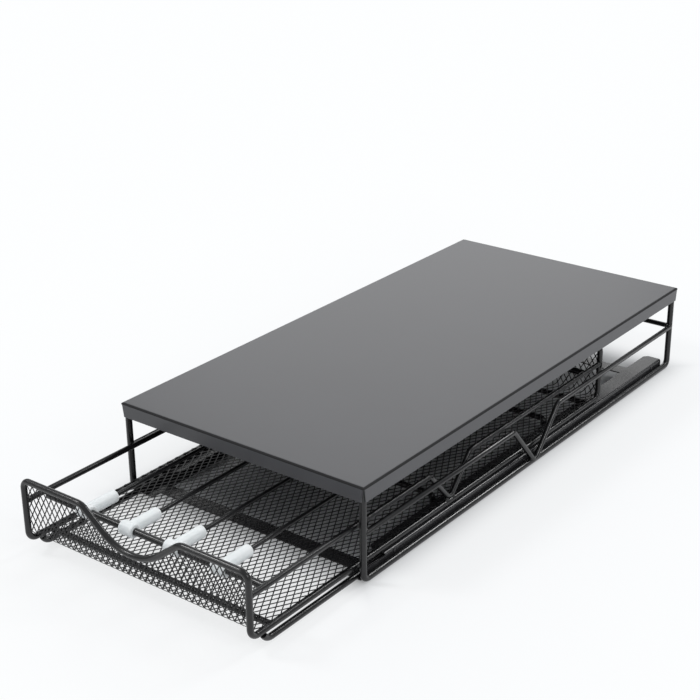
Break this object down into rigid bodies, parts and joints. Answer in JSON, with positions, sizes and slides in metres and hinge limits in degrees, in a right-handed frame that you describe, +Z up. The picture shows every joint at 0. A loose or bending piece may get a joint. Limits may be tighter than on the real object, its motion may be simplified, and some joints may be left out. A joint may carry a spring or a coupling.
{
  "type": "coffee pod drawer",
  "caption": "Low sheet-metal platform on bent wire hoops over a sliding wire and mesh drawer, divided into lanes for coffee pods by rods in sliding plastic tees.",
  "frame": {"origin": "on the worktop, in the middle of the footprint that the object has with its drawer standing partly open", "axes": "+X across to the right seen from the front, +Y from the drawer front to the rear, +Z up"},
  "size_m": [0.265, 0.6658, 0.0889],
  "materials": {
    "platform_coat": "satin black powder coat",
    "wire_coat": "semi-gloss black powder coat",
    "tee_plastic": "milky translucent plastic"
  },
  "bodies": {
    "frame": {"top_panel": "platform_coat", "side_hoop_left": "wire_coat", "side_hoop_right": "wire_coat", "mid_wire_left": "wire_coat", "mid_wire_right": "wire_coat", "rear_cross_wire": "wire_coat", "rail_left": "wire_coat", "rail_right": "wire_coat", "front_strap": "wire_coat", "rear_strap": "wire_coat", "rail_rivets": "wire_coat"},
    "drawer": {"front_rim": "wire_coat", "rear_rim": "wire_coat", "base_wire_left": "wire_coat", "base_wire_right": "wire_coat", "side_rim_left": "wire_coat", "side_rim_right": "wire_coat", "runner_left": "wire_coat", "runner_right": "wire_coat", "floor_wire_front": "wire_coat", "floor_wire_rear": "wire_coat", "hanger_middle": "wire_coat", "hanger_rear": "wire_coat", "floor_mesh": "wire_coat", "front_mesh": "wire_coat", "rear_mesh": "wire_coat", "divider_bar_front": "wire_coat", "divider_bar_rear": "wire_coat"},
    "divider_1": {"divider_rod_1": "wire_coat", "tee_front_1": "tee_plastic", "tee_rear_1": "tee_plastic"},
    "divider_2": {"divider_rod_2": "wire_coat", "tee_front_2": "tee_plastic", "tee_rear_2": "tee_plastic"},
    "divider_3": {"divider_rod_3": "wire_coat", "tee_front_3": "tee_plastic", "tee_rear_3": "tee_plastic"},
    "divider_4": {"divider_rod_4": "wire_coat", "tee_front_4": "tee_plastic", "tee_rear_4": "tee_plastic"}
  },
  "joints": [
    {"name": "drawer_slide", "type": "slide", "parent": "frame", "child": "drawer", "axis": [0, -1, 0], "range_m": [-0.1267, 0.23]},
    {"name": "divider_1_slide", "type": "slide", "parent": "drawer", "child": "divider_1", "axis": [1, 0, 0], "range_m": [-0.016, 0.016]},
    {"name": "divider_2_slide", "type": "slide", "parent": "drawer", "child": "divider_2", "axis": [1, 0, 0], "range_m": [-0.016, 0.016]},
    {"name": "divider_3_slide", "type": "slide", "parent": "drawer", "child": "divider_3", "axis": [1, 0, 0], "range_m": [-0.016, 0.016]},
    {"name": "divider_4_slide", "type": "slide", "parent": "drawer", "child": "divider_4", "axis": [1, 0, 0], "range_m": [-0.016, 0.016]}
  ]
}
